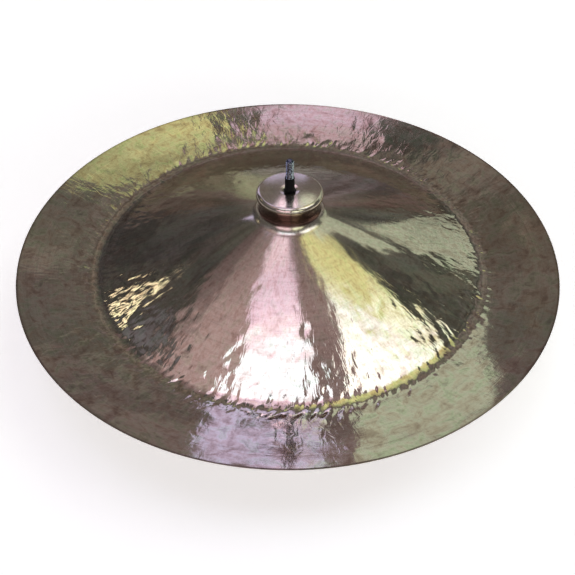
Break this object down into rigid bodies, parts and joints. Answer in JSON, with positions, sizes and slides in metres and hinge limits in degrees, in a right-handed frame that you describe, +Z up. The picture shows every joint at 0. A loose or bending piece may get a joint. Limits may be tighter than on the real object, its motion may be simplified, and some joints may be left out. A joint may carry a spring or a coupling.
{
  "type": "china cymbal",
  "caption": "Hammered bronze china cymbal with a flat-topped bell and an upturned flange, resting on its felt and sleeve on a threaded tilter.",
  "frame": {"origin": "middle of the flat lower end of the stem that goes into the stand's tube", "axes": "+Z up along the threaded rod and the cymbal's axis, +X along the tilter's pivot towards the wing nut"},
  "size_m": [0.559, 0.559, 0.1845],
  "materials": {
    "bronze": "lathed and hammered, tarnished",
    "steel": "zinc plated",
    "casting": "chrome plated die casting",
    "nylon": "moulded black",
    "felt": "pressed wool felt",
    "brake": "pressed fibre"
  },
  "bodies": {
    "base": {"tilter_base": "casting", "stem": "steel", "stem_spring_pin": "steel", "brake_disc": "brake", "pivot_bolt": "steel", "plain_washer": "steel"},
    "wing": {"wing_nut": "casting"},
    "head": {"tilter_head": "casting", "threaded_rod": "steel", "rod_spring_pin": "steel", "rod_lock_nut": "steel", "cup_washer": "steel"},
    "seat": {"cymbal_sleeve": "nylon", "lower_felt": "felt"},
    "plate": {"cymbal": "bronze"}
  },
  "joints": [
    {"name": "tilter_tilt", "type": "hinge", "parent": "base", "child": "head", "pos_m": [0, 0, 0.088], "axis": [1, 0, 0], "range_deg": [-65, 65]},
    {"name": "wing_nut_turn", "type": "hinge", "parent": "base", "child": "wing", "pos_m": [0, 0, 0.088], "axis": [1, 0, 0], "continuous": true},
    {"name": "cymbal_spin", "type": "hinge", "parent": "head", "child": "seat", "pos_m": [0, 0, 0.1485], "axis": [0, 0, 1], "continuous": true},
    {"name": "cymbal_rock", "type": "hinge", "parent": "seat", "child": "plate", "pos_m": [0, 0, 0.1485], "axis": [1, 0, 0], "range_deg": [-8, 8], "deforming": ["lower_felt"]}
  ]
}
